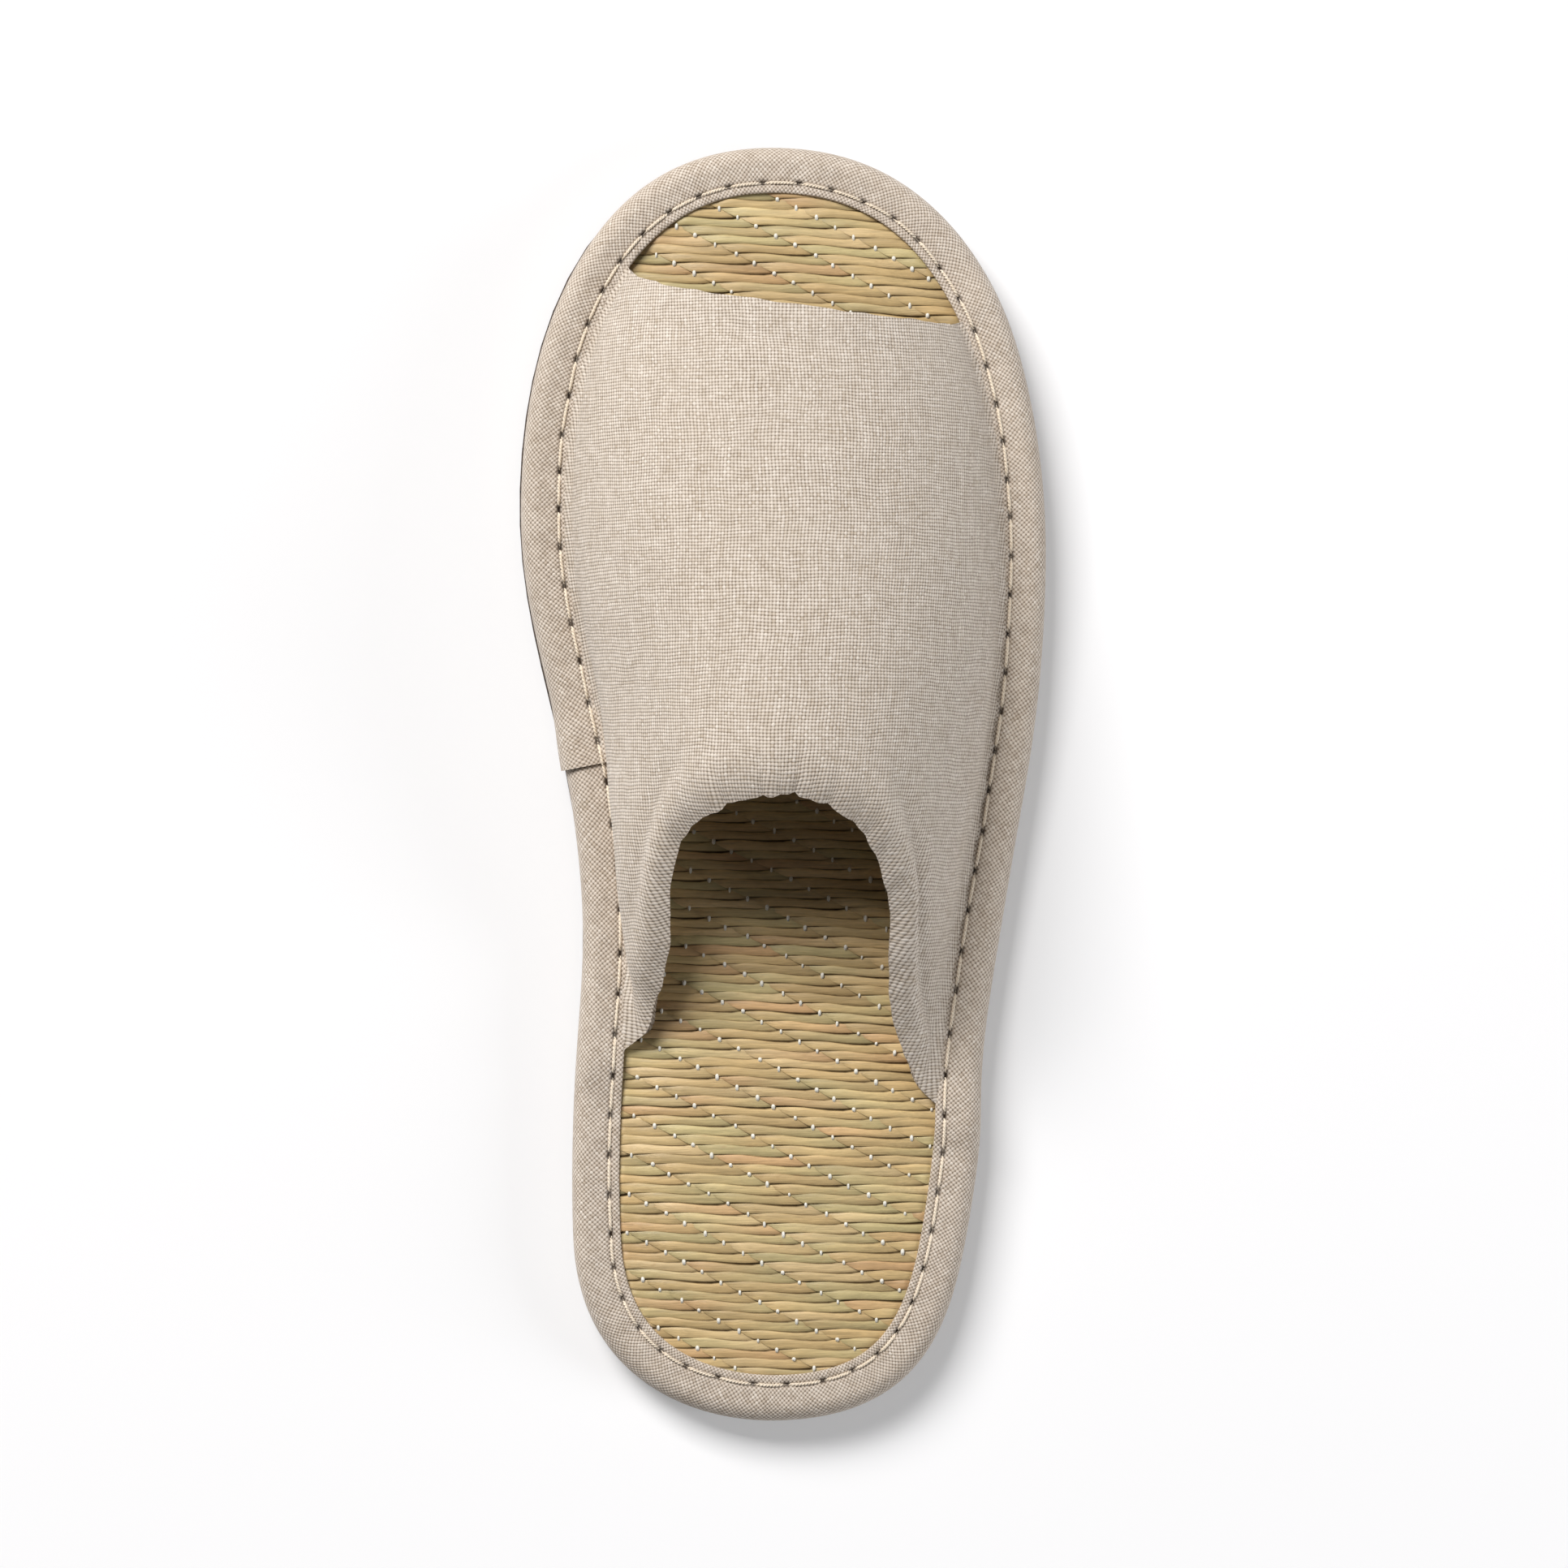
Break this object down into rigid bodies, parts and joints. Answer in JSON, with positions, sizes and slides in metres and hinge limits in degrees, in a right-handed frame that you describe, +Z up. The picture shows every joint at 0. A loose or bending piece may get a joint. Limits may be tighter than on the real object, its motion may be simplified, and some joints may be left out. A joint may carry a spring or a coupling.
{
  "type": "rush grass slipper",
  "caption": "Open-toed house slipper, right foot: flat cloth-bound sole with a woven rush footbed and one arched linen vamp, open at the toe and the back.",
  "frame": {"origin": "middle of the slipper's bounding box, on the floor under the outsole", "axes": "+Y towards the toe, +X towards the lateral side, +Z up"},
  "size_m": [0.1075, 0.26, 0.0589],
  "materials": {
    "outsole": "matte dark brown foam rubber with a fine tread",
    "rush": "woven rush with a dry satin sheen",
    "binding_linen": "undyed plain-woven linen, cut on the bias",
    "upper_linen": "undyed plain-woven linen over thin foam"
  },
  "bodies": {
    "root": {"outsole": "outsole", "insole": "rush", "binding": "binding_linen", "upper": "upper_linen"}
  },
  "joints": []
}
